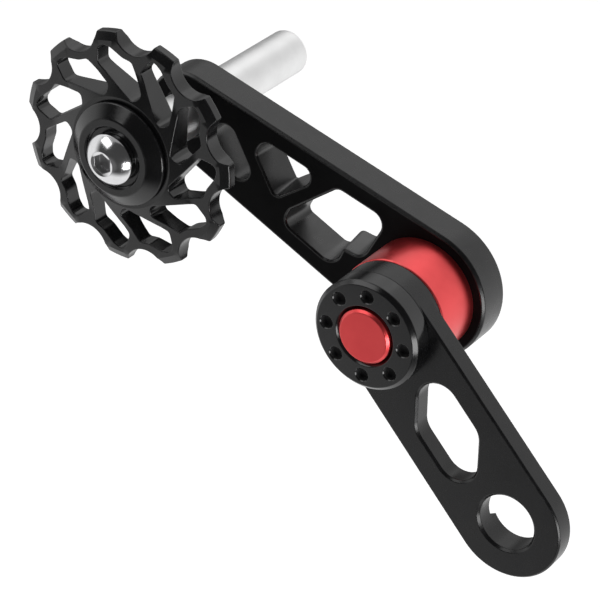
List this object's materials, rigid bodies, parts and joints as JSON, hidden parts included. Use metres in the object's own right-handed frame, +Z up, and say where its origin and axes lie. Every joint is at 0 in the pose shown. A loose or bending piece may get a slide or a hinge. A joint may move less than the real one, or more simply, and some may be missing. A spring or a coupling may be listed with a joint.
{
  "type": "bicycle chain tensioner",
  "caption": "Sprung chain tensioner: slotted mounting link, spring barrel with lock ring, pierced arm and a toothed jockey pulley on a sliding shaft.",
  "frame": {"origin": "centre of the hanger bore, at the middle of the mounting link's thickness", "axes": "+Y along the hanger bore and every axle, away from the pulley side; +Z up and +X right as seen from the pulley side, in the tilt of the picture"},
  "size_m": [0.1077, 0.0579, 0.0835],
  "materials": {
    "black_anodised": "black anodised, semi-gloss",
    "red_anodised": "red anodised, satin",
    "ground_steel": "finely ground, satin",
    "bright_steel": "bright",
    "spring_steel": "drawn wire",
    "dark_steel": "black oxide",
    "bronze": "plain sintered",
    "acetal": "matt",
    "bearing_steel": "ground",
    "seal_rubber": "matt"
  },
  "bodies": {
    "link": {"mount_link": "black_anodised", "pivot_bush": "bronze"},
    "arm": {"main_arm": "black_anodised", "spring_barrel": "red_anodised", "lock_ring": "black_anodised", "front_thrust_washer": "acetal", "rear_thrust_washer": "acetal", "torsion_spring": "spring_steel", "barrel_screw": "dark_steel", "dowel_pins": "ground_steel", "shaft_grub_screw": "dark_steel"},
    "shaft": {"pulley_shaft": "ground_steel", "pulley_bolt": "bright_steel", "bolt_lock_washer": "bright_steel", "front_dust_cover": "black_anodised", "rear_dust_cover": "black_anodised", "bearing_inner_ring": "bearing_steel"},
    "pulley": {"pulley_wheel": "black_anodised", "bearing_outer_ring": "bearing_steel", "bearing_seals": "seal_rubber"},
    "cage": {"bearing_cage": "acetal", "bearing_balls": "bearing_steel"}
  },
  "joints": [
    {"name": "arm_swing", "type": "hinge", "parent": "link", "child": "arm", "pos_m": [-0.02619, 0, 0.03023], "axis": [0, 1, 0], "range_deg": [0, 80], "stiffness_Nm_per_rad": 0.9, "springref_deg": -17.19, "deforming": ["torsion_spring"]},
    {"name": "shaft_slide", "type": "slide", "parent": "arm", "child": "shaft", "axis": [0, 1, 0], "range_m": [-0.018, 0.011]},
    {"name": "pulley_spin", "type": "hinge", "parent": "shaft", "child": "pulley", "pos_m": [-0.07586, -0.0042, 0.05142], "axis": [0, 1, 0], "continuous": true},
    {"name": "cage_spin", "type": "hinge", "parent": "shaft", "child": "cage", "pos_m": [-0.07586, -0.0042, 0.05142], "axis": [0, 1, 0], "continuous": true}
  ],
  "couplings": [
    {"joint": "cage_spin", "follows": "pulley_spin", "ratio": 0.57983}
  ]
}
